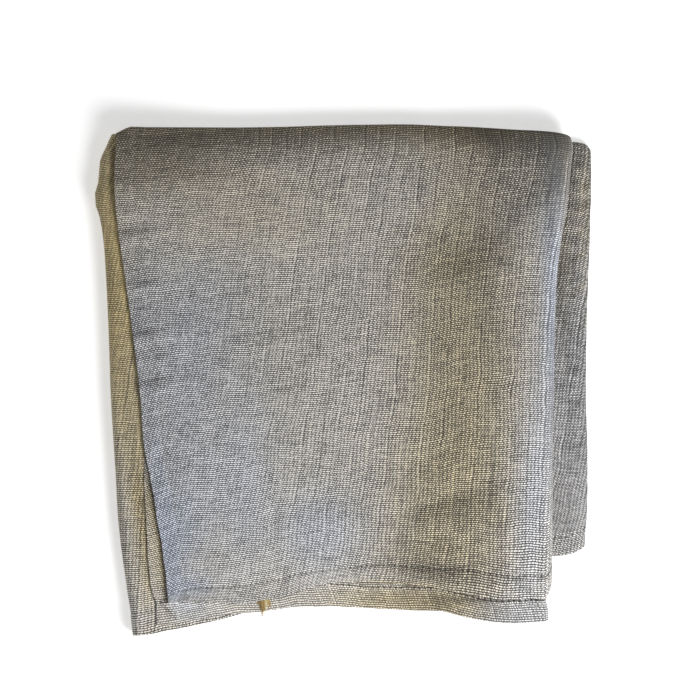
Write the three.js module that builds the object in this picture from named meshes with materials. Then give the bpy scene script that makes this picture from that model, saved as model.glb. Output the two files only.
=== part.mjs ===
// A linen tea towel, folded small and lying flat. Millimetres, +Z up.
// The origin is under the middle of the folded towel, on the surface that it lies on.
// +Y is the side of the top fold, and +X the side where a strip of the bottom panel shows.
//
// The towel is one sheet. First it is folded in half along the top fold, so that a front leaf
// lies on a back leaf. Then the doubled cloth goes back and forth in three panels: the top panel
// runs to the right fold, the middle panel comes back under it to the left fold, and the bottom
// panel runs to the right again. So six layers lie on each other, a little apart.

import * as THREE from "three";
import { ParametricGeometry } from "three/addons/geometries/ParametricGeometry.js";
import { mergeGeometries, mergeVertices } from "three/addons/utils/BufferGeometryUtils.js";

// Cloth
const CLOTH_THICKNESS = 1;
const HEM_DEPTH = 11;
const HEM_ROUND = 3.5; // the outer part of a side hem, where its corners turn round
const HEM_STEP = 0.8; // width over which the hem's extra thickness ends
const HEM_TURN = 0.6; // extra thickness of the hem, on the side between the leaves
const LEAF_SPACING = 2.6; // from the middle of the front leaf to the middle of the back leaf
const PANEL_SPACING = 4; // from the middle of one doubled panel to the next, where they lie close
const REACH = LEAF_SPACING / 2 + CLOTH_THICKNESS / 2; // from there to the outside of a leaf

// How the folded cloth stands open and overhangs
const FOLD_SLOPE = 70; // length over which a panel rises to the open fold at its end
const SHOULDER_Y = 75; // the left fold bulges above this
const BROW_LENGTH = 13; // the top panel overhangs the others at the top fold by this much
const BROW_DROOP = 3.6; // and droops this much there

// Turns rows of values into objects with named columns
function table(names, rows) {
  return rows.map((row) => Object.fromEntries(names.split(" ").map((name, index) => [name, row[index]])));
}

// The upright edges, from top to bottom: y, then the x of the top panel's hem on the front and on
// the back leaf, of the two folds and of the bottom panel's hem, and how far each fold stands open
const SIDES = table("y frontHem backHem rightFold leftFold rightHem rightOpen leftOpen", [
  [130, -118.3, -118.3, 118.0, -119.5, 128.2, 1.5, 1.5],
  [121, -118.2, -118.2, 120.2, -122.9, 129.2, 2.0, 2.5],
  [114, -118.8, -118.2, 119.7, -126.4, 129.3, 2.6, 3.2],
  [104, -118.8, -118.0, 118.8, -127.4, 129.2, 3.2, 3.8],
  [94, -118.2, -117.2, 117.5, -129.6, 129.1, 3.6, 4.2],
  [87, -117.4, -116.2, 116.7, -127.9, 129.0, 3.8, 3.8],
  [75, -115.6, -114.3, 114.7, -125.4, 128.8, 4.0, 3.2],
  [57, -113.0, -111.5, 112.4, -124.0, 127.9, 4.2, 2.8],
  [26, -108.8, -107.4, 110.9, -122.2, 127.0, 4.4, 2.8],
  [-11, -104.6, -103.6, 110.3, -120.7, 127.0, 4.2, 3.0],
  [-34, -103.3, -103.0, 109.9, -119.3, 127.3, 3.8, 3.0],
  [-51, -99.9, -103.4, 109.9, -118.3, 127.4, 3.8, 2.8],
  [-60, -97.8, -103.0, 109.9, -117.9, 127.4, 4.0, 2.6],
  [-73, -95.7, -102.2, 109.7, -117.1, 127.2, 4.2, 2.4],
  [-86, -93.0, -101.2, 109.8, -115.5, 126.3, 4.2, 2.4],
  [-102, -91.4, -100.0, 110.4, -113.4, 126.0, 3.8, 2.6],
  [-115, -90.9, -98.2, 109.4, -111.7, 126.0, 3.4, 3.0],
  [-133, -90.4, -96.8, 108.2, -109.5, 126.0, 3.2, 3.4],
]);

// The top and bottom edges, along the cloth's width: how much of the width is used up, counted
// from the top panel's hem, then the y of the top fold and of the hems of the front and back leaf
const ENDS = table("used top front back", [
  [0, 128.4, -116.7, -128.1],
  [7, 131.6, -116.4, -127.2],
  [17, 131.8, -116.2, -125.8],
  [43, 131.8, -117.0, -120.8],
  [52, 131.8, -115.4, -120.2],
  [65, 131.9, -113.6, -118.6],
  [77, 132.1, -109.2, -118.2],
  [98, 132.8, -107.4, -118.6],
  [122, 133.3, -105.8, -119.5],
  [141, 133.4, -107.3, -120.1],
  [158, 132.6, -110.0, -121.0],
  [176, 131.7, -113.9, -124.4],
  [191, 130.6, -115.4, -126.9],
  [207, 129.6, -114.8, -126.6],
  [213, 128.6, -114.9, -126.2],
  [214, 128.3, -114.5, -126.0],
  [215, 128.0, -111.8, -125.9],
  [217, 127.2, -105.8, -125.7],
  [221, 126.0, -104.0, -123.6],
  [226, 124.6, -104.6, -121.0],
  [260, 119.5, -106.0, -115.0],
  [330, 118.0, -107.0, -115.0],
  [372, 118.3, -110.0, -119.0],
  [399, 119.6, -113.0, -125.4],
  [428, 123.4, -115.0, -130.2],
  [450, 126.5, -117.0, -133.0],
  [462, 124.0, -117.0, -130.0],
  [500, 118.0, -111.0, -120.0],
  [600, 118.0, -101.0, -103.0],
  [665, 120.8, -94.0, -93.0],
  [683, 124.7, -92.9, -90.0],
  [690, 124.5, -92.0, -89.2],
  [696.5, 123.5, -90.2, -87.6],
  [698.5, 122.3, -88.8, -86.6],
  [700, 119.6, -87.4, -85.5],
]);

// Soft rises of the top panel: x and y of the middle, half the length and breadth, the turn from
// the X axis in degrees, and the height
const RISES = table("x y length breadth turn height", [
  [46, -61, 34, 12, 18, 1.3],
  [42, 92, 42, 20, 40, 1.1],
  [92, 72, 30, 16, 50, 0.8],
  [80, -112, 30, 16, 0, 1.2],
  [-22, -104, 18, 16, 15, 1.0],
  [-60, 5, 70, 38, 80, 1.0],
]);

// The yarn tuft is a flat fan that starts at the front leaf's hem
const TUFT_ROOT = { x: -40.5, y: -116.3, z: 10.5, width: 4.6 };
const TUFT_THICKNESS = 1.1;
const TUFT_ENDS = table("across out notch", [
  [-3.6, 5.6, 3.8],
  [-2.0, 7.8, 4.6],
  [-0.2, 6.8, 4.8],
  [1.5, 8.2, 4.4],
  [3.2, 5.8, 0],
]);

// The cloth's courses, from the top panel's hem to the bottom panel's hem. Each runs between two
// marks, or turns round one, and uses up some of the cloth's width.
const COURSES = table("from to width steps startHeight endHeight", [
  ["hem", "hemRound", HEM_ROUND, 1, topHeight, topHeight],
  ["hemRound", "hemLine", HEM_DEPTH - HEM_ROUND, 1, topHeight, topHeight],
  ["hemLine", "hemEnd", HEM_STEP, 1, topHeight, topHeight],
  ["hemEnd", "rightTurn", 201.2, 13, topHeight, topHeight],
  ["rightTurn", "rightTurn", 8, 8, topHeight, middleHeight],
  ["rightTurn", "leftTurn", 222, 10, middleHeight, middleHeight],
  ["leftTurn", "leftTurn", 8, 8, middleHeight, bottomHeight],
  ["leftTurn", "farHemEnd", 237.2, 10, bottomHeight, bottomHeight],
  ["farHemEnd", "farHemLine", HEM_STEP, 1, bottomHeight, bottomHeight],
  ["farHemLine", "farHemRound", HEM_DEPTH - HEM_ROUND, 1, bottomHeight, bottomHeight],
  ["farHemRound", "farHem", HEM_ROUND, 1, bottomHeight, bottomHeight],
]);

// The stretches of the cloth's length, from the front leaf's hem over the top fold to the back
// leaf's hem. "from" and "to" are marks too, and the top fold turns round one.
const STRETCHES = table("leaf from to steps", [
  ["front", "hem", "hemLine", 1],
  ["front", "hemLine", "hemEnd", 1],
  ["front", "hemEnd", "shoulder", 9],
  ["front", "shoulder", "brow", 4],
  ["front", "brow", "fold", 3],
  ["front", "fold", "fold", 6],
  ["back", "fold", "brow", 3],
  ["back", "brow", "shoulder", 4],
  ["back", "shoulder", "hemEnd", 9],
  ["back", "hemEnd", "hemLine", 1],
  ["back", "hemLine", "hem", 1],
]);

const countSteps = (parts) => parts.reduce((sum, part) => sum + part.steps, 0);
const COLUMNS = countSteps(COURSES);
const ROWS = countSteps(STRETCHES);

// A smooth curve through the rows of a table, read by one of its columns
function curveThrough(rows, key) {
  const names = Object.keys(rows[0]).filter((name) => name !== key);
  const ordered = [...rows].sort((a, b) => a[key] - b[key]);
  const positions = ordered.map((row) => row[key]);
  const values = ordered.flatMap((row) => names.map((name) => row[name]));
  const curve = new THREE.CubicInterpolant(positions, values, names.length);
  return (position) => {
    const result = curve.evaluate(position);
    return Object.fromEntries(names.map((name, index) => [name, result[index]]));
  };
}

const sidesAt = curveThrough(SIDES, "y");
const endsAt = curveThrough(ENDS, "used");

// The marks at one height on the plan: the edges, hem lines and the middle lines of the folds
function marksAcross(leaf, y) {
  const side = sidesAt(y);
  const hem = leaf === "front" ? side.frontHem : side.backHem;
  const rightRadius = (PANEL_SPACING + side.rightOpen) / 2;
  const leftRadius = (PANEL_SPACING + side.leftOpen) / 2;
  return {
    hem,
    hemRound: hem + HEM_ROUND,
    hemLine: hem + HEM_DEPTH,
    hemEnd: hem + HEM_DEPTH + HEM_STEP,
    rightTurn: side.rightFold - REACH - rightRadius,
    leftTurn: side.leftFold + REACH + leftRadius,
    farHemEnd: side.rightHem - HEM_DEPTH - HEM_STEP,
    farHemLine: side.rightHem - HEM_DEPTH,
    farHemRound: side.rightHem - HEM_ROUND,
    farHem: side.rightHem,
    rightRadius,
    leftRadius,
    rightOpen: side.rightOpen,
    leftOpen: side.leftOpen,
  };
}

// 1 at a fold, easing to 0 where the panel lies close again
function nearFold(distance) {
  return 1 - THREE.MathUtils.smoothstep(distance, 0, FOLD_SLOPE);
}

// The soft rises at a place on the plan
function riseAt(x, y) {
  return RISES.reduce((sum, rise) => {
    const turn = THREE.MathUtils.degToRad(rise.turn);
    const along = (x - rise.x) * Math.cos(turn) + (y - rise.y) * Math.sin(turn);
    const beside = (y - rise.y) * Math.cos(turn) - (x - rise.x) * Math.sin(turn);
    return sum + rise.height * Math.exp(-((along / rise.length) ** 2) - (beside / rise.breadth) ** 2);
  }, 0);
}

// The height of the middle of each doubled panel
function bottomHeight() {
  return REACH;
}

function middleHeight(x, marks) {
  return REACH + PANEL_SPACING + marks.leftOpen * nearFold(x - marks.leftTurn);
}

function topHeight(x, marks, y, belowTop) {
  const byRight = nearFold(marks.rightTurn - x);
  const byLeft = nearFold(x - marks.leftTurn);
  const brow = Math.max(0, 1 - belowTop / BROW_LENGTH) ** 2;
  const droop = BROW_DROOP * brow * (1 - byRight) * (1 - byLeft);
  const rise = riseAt(x, y) * (1 - byRight);
  return middleHeight(x, marks) + PANEL_SPACING + marks.rightOpen * byRight + rise - droop;
}

// Finds the part that holds a count of steps, and how far along that part it is
function find(parts, count) {
  let before = 0;
  let index = 0;
  while (index < parts.length - 1 && count > before + parts[index].steps) {
    before += parts[index].steps;
    index += 1;
  }
  return { index, part: parts[index], share: (count - before) / parts[index].steps };
}

// How much of the cloth's width is used up at a column
function widthUsed(column) {
  const { index, part, share } = find(COURSES, column);
  const before = COURSES.slice(0, index).reduce((sum, course) => sum + course.width, 0);
  return before + share * part.width;
}

// A point on the middle surface of the doubled cloth
function middle(leaf, column, y) {
  const marks = marksAcross(leaf, y);
  const belowTop = endsAt(widthUsed(column)).top - y;
  const { part: course, share } = find(COURSES, column);
  if (course.from !== course.to) {
    const x = THREE.MathUtils.lerp(marks[course.from], marks[course.to], share);
    return new THREE.Vector3(x, y, course.startHeight(x, marks, y, belowTop));
  }
  const turnX = marks[course.from];
  const bulge = course.from === "rightTurn" ? marks.rightRadius : -marks.leftRadius;
  const high = course.startHeight(turnX, marks, y, belowTop);
  const low = course.endHeight(turnX, marks, y, belowTop);
  const angle = share * Math.PI;
  const z = (high + low) / 2 + ((high - low) / 2) * Math.cos(angle);
  return new THREE.Vector3(turnX + bulge * Math.sin(angle), y, z);
}

// The middle surface's run towards the top fold, and its normal, which is up on the top panel
function directions(leaf, column, y) {
  const nudge = 0.02;
  const start = middle(leaf, Math.max(0, column - nudge), y);
  const end = middle(leaf, Math.min(COLUMNS, column + nudge), y);
  const up = middle(leaf, column, y + nudge).sub(middle(leaf, column, y - nudge)).normalize();
  return { up, normal: end.sub(start).cross(up).normalize() };
}

// 1 in the hems and 0 away from them
function inHem(column, row) {
  const thickMarks = ["hem", "hemRound", "hemLine", "farHemLine", "farHemRound", "farHem"];
  const thickAt = (mark) => (thickMarks.includes(mark) ? 1 : 0);
  const fade = (parts, count) => {
    const { part, share } = find(parts, count);
    return THREE.MathUtils.lerp(thickAt(part.from), thickAt(part.to), share);
  };
  return Math.max(fade(COURSES, column), fade(STRETCHES, row));
}

// A point on the outside (side 1) or the inside (side -1) of the cloth, by column and row
function clothPoint(column, row, side) {
  const { part: stretch, share } = find(STRETCHES, row);
  const ends = endsAt(widthUsed(column));
  const foldY = ends.top - REACH;
  const turned = side < 0 ? HEM_TURN * inHem(column, row) : 0;
  const offset = LEAF_SPACING / 2 + (side * CLOTH_THICKNESS) / 2 - turned;
  if (stretch.from === stretch.to) {
    const { up, normal } = directions("front", column, foldY);
    const angle = share * Math.PI;
    return middle("front", column, foldY)
      .addScaledVector(normal, offset * Math.cos(angle))
      .addScaledVector(up, offset * Math.sin(angle));
  }
  const hem = ends[stretch.leaf];
  const marks = {
    hem,
    hemLine: hem + HEM_DEPTH,
    hemEnd: hem + HEM_DEPTH + HEM_STEP,
    shoulder: SHOULDER_Y,
    brow: foldY - BROW_LENGTH,
    fold: foldY,
  };
  const y = THREE.MathUtils.lerp(marks[stretch.from], marks[stretch.to], share);
  const { normal } = directions(stretch.leaf, column, y);
  const away = stretch.leaf === "front" ? offset : -offset;
  return middle(stretch.leaf, column, y).addScaledVector(normal, away);
}

// The cloth is one closed body: its outside, its inside, and the four edges between them
function makeCloth() {
  const surface = (place, slices, stacks) =>
    new ParametricGeometry((a, b, point) => point.copy(place(a, b)), slices, stacks);
  const edgePoint = (column, row, share) =>
    clothPoint(column, row, -1).lerp(clothPoint(column, row, 1), share);
  const cloth = mergeGeometries([
    surface((a, b) => clothPoint(a * COLUMNS, b * ROWS, 1), COLUMNS, ROWS),
    surface((a, b) => clothPoint((1 - a) * COLUMNS, b * ROWS, -1), COLUMNS, ROWS),
    surface((a, b) => edgePoint(a * COLUMNS, 0, b), COLUMNS, 1),
    surface((a, b) => edgePoint(a * COLUMNS, ROWS, 1 - b), COLUMNS, 1),
    surface((a, b) => edgePoint(0, b * ROWS, a), 1, ROWS),
    surface((a, b) => edgePoint(COLUMNS, b * ROWS, 1 - a), 1, ROWS),
  ]);
  cloth.deleteAttribute("normal");
  cloth.deleteAttribute("uv");
  return mergeVertices(cloth, 1e-3);
}

// The tuft's outline is a narrow root and a row of frayed ends with notches between them
function makeTuft() {
  const outline = new THREE.Shape();
  outline.moveTo(TUFT_ROOT.width / 2, 0);
  outline.lineTo(-TUFT_ROOT.width / 2, 0);
  TUFT_ENDS.forEach((end, index) => {
    outline.lineTo(end.across, -end.out);
    const next = TUFT_ENDS[index + 1];
    if (next) outline.lineTo((end.across + next.across) / 2, -end.notch);
  });
  outline.closePath();
  return new THREE.ExtrudeGeometry(outline, { depth: TUFT_THICKNESS, bevelEnabled: false });
}

const linen = new THREE.MeshStandardMaterial({ color: 0xa39f96, roughness: 0.92, metalness: 0 });
const strawYarn = new THREE.MeshStandardMaterial({ color: 0xb9a47c, roughness: 0.9, metalness: 0 });

const towelCloth = new THREE.Mesh(makeCloth(), linen);
towelCloth.name = "towel_cloth";

const yarnTuft = new THREE.Mesh(makeTuft(), strawYarn);
yarnTuft.name = "yarn_tuft";
yarnTuft.position.set(TUFT_ROOT.x, TUFT_ROOT.y, TUFT_ROOT.z);

const towel = new THREE.Group();
towel.add(towelCloth, yarnTuft);

export default towel;
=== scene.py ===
# A linen tea towel, folded small, on a plain pale table top.
# Sizes are in millimetres, and become metres where a mesh, a light or the camera is made.

import math

import bpy
import numpy as np
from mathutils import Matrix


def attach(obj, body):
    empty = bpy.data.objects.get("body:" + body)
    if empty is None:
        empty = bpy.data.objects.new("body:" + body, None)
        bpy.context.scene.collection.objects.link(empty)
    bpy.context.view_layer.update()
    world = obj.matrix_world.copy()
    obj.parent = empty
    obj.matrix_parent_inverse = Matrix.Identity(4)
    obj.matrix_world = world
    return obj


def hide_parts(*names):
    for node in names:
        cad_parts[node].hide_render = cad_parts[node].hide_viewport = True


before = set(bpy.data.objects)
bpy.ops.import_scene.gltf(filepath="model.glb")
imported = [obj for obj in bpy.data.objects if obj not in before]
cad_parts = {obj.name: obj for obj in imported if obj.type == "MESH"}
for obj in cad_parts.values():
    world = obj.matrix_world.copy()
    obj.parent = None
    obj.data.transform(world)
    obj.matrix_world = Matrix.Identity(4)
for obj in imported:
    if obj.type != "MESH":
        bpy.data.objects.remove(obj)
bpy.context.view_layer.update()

MM = 0.001

# Cloth
TOWEL_WIDTH = 700
TOWEL_LENGTH = 500
CLOTH_THICKNESS = 0.6
HEM_THICKNESS = 1.1
CORNER_THICKNESS = 1.5  # where two hems cross
EDGE_ROUNDING = 0.3
HEM_DEPTH = 11
BACK_HEM_DEPTH = 13  # as it lies on the back leaf, whose slack cloth bows out
HEM_STEP = 0.8  # from the hem down to the single cloth
EDGE_ANGLE = 60  # in degrees: sharper edges are rounded
SMOOTH_ANGLE = 50  # in degrees: blunter edges are shaded smooth

# Stitches
STITCH_INSET = 10  # from the edge to the line of stitches
STITCH_PITCH = 3.0
STITCH_SIZE = (2.5, 0.5, 0.4)
STITCH_SINK = 0.12  # how deep a stitch's middle lies in the cloth
STITCH_AIM = 0.6  # how far before and after its middle a stitch reads its direction
SEAM_SAMPLES = 6001

# Weave
WARP_PITCH = 0.71
WEFT_PITCH = 1.0
THICK_WARP_PITCH = 1.9
RIB_SPACING = 8.7  # between the lines of lighter and darker threads
SLANT = 0.13  # how far the columns lean for each millimetre up the cloth
SIDE_SLANT = 0.21  # added towards the top panel's hem
SLANT_REACH = 190  # how far from that hem it is still felt
UPRIGHT_AT = 120  # how far up the cloth the columns are counted from
SIDE_HOLE = 0.7
END_HOLE = 0.9
BUMP_HEIGHT = 0.12

# Painted shade between the threads and painted light on their crowns, standing in for the weave's
# relief: how light the linen is there, before the tables' painted light and shade
PAINTED_GAP_SHADE = 0.05
PAINTED_THREAD_LIGHT = 2.45
BRIGHTEST = 2.6

# Colours
COOL_LINEN = (0.348, 0.378, 0.449, 1.0)
WARM_LINEN = (0.40, 0.31, 0.13, 1.0)
DARK_THREAD = (0.16, 0.15, 0.13, 1.0)
PALE_THREAD = (0.42, 0.4, 0.36, 1.0)
CREAM_FIBRE = (0.7, 0.6, 0.33, 1.0)
BROWN_FIBRE = (0.36, 0.22, 0.05, 1.0)

# How the layers lie
PANEL_SPACING = 4  # from the middle of one panel to the middle of the next
REACH = 1.8  # from the middle of the doubled cloth to the outside of a leaf
FOLD_SLOPE = 70  # how far from a side fold its openness still lifts the cloth
BROW_LENGTH = 13  # the stretch before the top fold where the cloth droops towards it
BROW_DROOP = 3.6
SIDE_FOLD_RUN = 7.5  # half the cloth that goes round a side fold
TOP_FOLD_RUN = 2.8  # half the cloth that goes round the top fold

# Hems stand proud, are drawn in along their stitches, and pucker
HEM_RISE = 0.3
GROOVE_DEPTH = 0.35
GROOVE_WIDTH = 0.8
PUCKER_INSET = 8
PUCKER_WIDTH = 6
SIDE_PUCKER = 0.4
FAR_SIDE_PUCKER = 0.3  # added towards the bottom panel's hem
END_PUCKER = 0.22


def table(names, rows):
    """Rows of values as named columns."""
    columns = zip(*rows)
    return {name: np.array(column) for name, column in zip(names.split(), columns)}


# The upright edges, from top to bottom: y, then the x of the top panel's hem on the front and on
# the back leaf, of the two folds and of the bottom panel's hem, and how far each fold stands open
SIDES = table("y front_hem back_hem right_fold left_fold right_hem right_open left_open", [
    (130, -118.3, -118.3, 118.6, -119.8, 128.4, 1.5, 1.5),
    (121, -118.2, -118.2, 120.3, -123.6, 130.0, 2.0, 2.5),
    (114, -118.8, -118.2, 119.7, -126.9, 130.2, 2.6, 3.2),
    (104, -119.0, -118.2, 118.8, -127.7, 130.2, 3.2, 3.8),
    (94, -118.6, -117.6, 117.5, -129.9, 130.1, 3.6, 4.2),
    (87, -118.0, -116.8, 116.7, -127.6, 129.8, 3.8, 3.8),
    (75, -116.6, -115.3, 114.7, -125.4, 129.6, 4.0, 3.2),
    (57, -114.0, -112.5, 112.4, -124.0, 128.9, 4.2, 2.8),
    (26, -109.7, -108.3, 110.9, -122.5, 127.9, 4.4, 2.8),
    (-11, -105.3, -104.3, 110.3, -121.2, 127.6, 4.2, 3.0),
    (-34, -103.6, -103.3, 109.9, -119.8, 128.3, 3.8, 3.0),
    (-51, -100.4, -103.6, 109.9, -118.7, 128.4, 3.8, 2.8),
    (-60, -98.6, -103.2, 109.9, -118.3, 128.4, 4.0, 2.6),
    (-73, -96.8, -102.5, 109.7, -117.5, 127.9, 4.2, 2.4),
    (-86, -94.3, -101.9, 109.8, -116.1, 126.9, 4.2, 2.4),
    (-94, -93.4, -101.5, 109.6, -115.1, 126.6, 4.0, 2.5),
    (-102, -92.2, -100.7, 109.4, -113.9, 126.5, 3.8, 2.6),
    (-110, -91.6, -99.6, 109.0, -112.8, 126.5, 3.6, 2.9),
    (-115, -91.0, -97.9, 109.0, -112.0, 126.5, 3.4, 3.0),
    (-120, -90.6, -97.2, 110.3, -111.2, 126.5, 3.4, 3.2),
    (-133, -90.4, -96.6, 110.0, -109.6, 126.5, 3.2, 3.4),
])

# The top and bottom edges, along the cloth's width: how much of the width is used up, counted
# from the top panel's hem, then the y of the top fold and of the hems of the front and back leaf,
# and how deep the front leaf's hem is
ENDS = table("used top front back depth", [
    (0, 128.4, -116.7, -128.6, 4.0),
    (7, 131.6, -116.4, -127.6, 6.8),
    (17, 131.8, -116.2, -126.2, 8.2),
    (35, 131.8, -116.8, -123.4, 9.4),
    (43, 131.8, -117.0, -122.2, 10.4),
    (52, 131.8, -115.4, -121.8, 10.0),
    (58, 131.8, -114.6, -121.3, 10.2),
    (65, 131.9, -113.6, -120.4, 10.9),
    (72, 132.0, -111.3, -119.4, 10.2),
    (77, 132.1, -109.4, -118.9, 9.0),
    (88, 132.4, -107.0, -118.8, 8.0),
    (98, 132.8, -105.6, -118.7, 7.6),
    (122, 133.3, -105.8, -119.9, 10.0),
    (141, 133.4, -107.3, -120.8, 10.5),
    (158, 132.6, -109.6, -121.4, 11.7),
    (168, 132.2, -111.4, -124.0, 13.4),
    (176, 131.7, -112.9, -125.5, 14.2),
    (191, 130.6, -114.6, -127.4, 13.6),
    (207, 129.6, -114.3, -127.0, 13.2),
    (213, 128.6, -114.4, -126.6, 13.0),
    (214, 128.3, -114.0, -126.4, 12.8),
    (215, 128.0, -111.8, -126.0, 12.4),
    (217, 127.2, -105.8, -125.7, 12.0),
    (221, 126.0, -104.0, -123.6, 11.0),
    (226, 124.6, -104.6, -121.0, 11.0),
    (260, 119.5, -106.0, -115.0, 11.0),
    (330, 118.0, -107.0, -115.0, 11.0),
    (372, 118.3, -110.0, -119.0, 11.0),
    (399, 119.6, -113.0, -125.4, 11.0),
    (428, 124.6, -115.0, -131.0, 11.0),
    (450, 128.6, -117.0, -133.9, 11.0),
    (462, 125.6, -117.0, -131.0, 11.0),
    (500, 118.0, -111.0, -120.0, 11.0),
    (600, 118.0, -101.0, -103.0, 11.0),
    (665, 120.8, -94.0, -93.0, 11.0),
    (683, 124.7, -92.9, -90.0, 11.0),
    (690, 124.5, -92.0, -89.2, 11.0),
    (696.5, 123.5, -90.2, -87.6, 11.0),
    (698.5, 122.3, -88.8, -86.6, 11.0),
    (700, 119.6, -87.4, -85.5, 11.0),
])

# Soft rises of the top panel: x and y of the middle, half the length and breadth, the turn from
# the X axis in degrees, and the height
RISES = table("x y length breadth turn height", [
    (46, -61, 34, 12, 18, 1.3),
    (42, 92, 42, 20, 40, 1.1),
    (92, 72, 30, 16, 50, 0.8),
    (80, -112, 30, 16, 0, 1.2),
    (-22, -104, 18, 16, 15, 1.0),
    (-60, 5, 70, 38, 80, 1.0),
])

# The weave's own run: how much cloth lies before each side fold, by y, and before the top fold
SIDE_GRAIN = table("y right_fold left_fold", [(-133, 206, 442), (0, 217, 450), (130, 231, 464)])
TOP_GRAIN = table("used fold", [
    (0, 248.4), (7, 251.2), (58, 248), (148, 242), (208, 229.5), (221, 228), (300, 236),
    (450, 252), (700, 250),
])

# The cloth is read by course across its width (hem, step, top panel, right fold, middle panel, left
# fold, bottom panel, step, hem) and by stretch along its length (hem, step, front leaf, brow, top
# fold, brow, back leaf, step, hem). These marks say how much of the width, as the table of ends
# counts it, and of the length is used up where each of them starts and ends.
USED_MARKS = np.array([0, 11, 11.8, 213, 221, 443, 451, 688.2, 689, 700])
LENGTH_MARKS = np.array([0, 11, 11.8, 235, 248, 252, 265, 488.2, 489, 500])
RIGHT_FOLD, MIDDLE_PANEL, LEFT_FOLD = 3, 4, 5
FRONT_LEAF, TOP_FOLD = 2, 4
LAST_MARK = len(USED_MARKS) - 1
JUST_INSIDE = LAST_MARK - 1e-9  # so that the far edge still counts as the last course

# Grid lines: where each run starts and ends, by course or stretch, and its number of steps. Hems
# have their own.
HEM_LINES = np.array([0, 0.5, 1.5, 3.2, 5.2, 7.2, 8.6, 9.4, 10, 10.6, 11]) / HEM_DEPTH
ACROSS_LINES = [
    (1, 2, 2), (2, 3, 108), (3, 4, 12), (4, 4.86, 16), (4.86, 5, 14), (5, 6, 12),
    (6, 6.87, 17), (6.87, 7, 16), (7, 8, 2),
]
ALONG_LINES = [
    (1, 2, 2), (2, 3, 112), (3, 4, 7), (4, 5, 10), (5, 6, 5), (6, 6.86, 36), (6.86, 7, 12),
    (7, 8, 2),
]

# Creases and swells of single layers: x and y of the middle, half the length and breadth, the turn
# from the X axis in degrees, and the height, which is below 0 in a trough. The top panel's back
# leaf shows its inside, so what stands out there has a height below 0.
CREASES = {
    "top front": table("x y length breadth turn height", [
        (-113, 101, 11, 2.8, 5, 1.4),
        (-110, 88, 8, 2.2, 5, 0.7),
        (-109, 74, 13, 2.8, 8, 1.5),
        (-108, 61, 9, 2.2, 8, 0.6),
        (-106, 48, 13, 2.8, 6, 1.5),
        (-103, 22, 13, 2.6, 6, 1.5),
        (-101, 9, 10, 2.2, 4, 1.1),
        (-100, -4, 13, 2.8, 6, 1.4),
        (-111, 35, 95, 10, 96.4, -1.0),
        (-96, -75, 48, 9, 98.7, -1.0),
        (-20, -108, 70, 8, 2, -0.8),
        (-97, -30, 8, 4.0, 8, 0.6),
        (-93, -56, 8, 4.0, 8, 0.6),
        (26, -106.6, 26, 1.2, -4, 0.3),
        (-56, 107, 50, 8, 12, 1.1),
        (93, 94, 30, 8, 45, -1.4),
        (61, 61, 14, 5, 10, -0.9),
        (47, -64, 32, 4.5, 18, -1.5),
        (56, -77, 30, 4.5, 0, 1.1),
        (82, -74, 7, 4, 0, -0.8),
        (47, -97, 32, 3.2, -4, -0.5),
        (-5, -74, 30, 9, 5, 1.0),
        (-36, -74, 12, 2.6, 85, -0.8),
        (-76, -69, 7, 2.2, -5, -0.6),
        (-86, -25, 11, 2.6, -34, -0.55),
        (-64, -24, 10, 2.6, 38, -0.55),
    ]),
    "top back": table("x y length breadth turn height", [
        (13, -114, 6, 1.6, 88, 0.7),
        (30, -114, 6, 1.6, 95, 0.6),
        (-94, -116, 3.4, 1.2, 30, 0.9),
        (-91, -121, 4.0, 1.2, -48, 0.7),
        (-97, -122, 5.0, 1.2, 88, 0.5),
        (-74, -115.6, 14, 2.0, 0, -0.9),
        (16, -104.6, 30, 2.0, -2, -0.9),
    ]),
    "middle back": table("x y length breadth turn height", [
        (-113.4, 40, 70, 5.0, 96.4, 1.4),
        (-105.6, -32, 24, 5.0, 94, 1.0),
        (-122.6, 109, 12, 1.4, 86, 0.6),
    ]),
}
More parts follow.
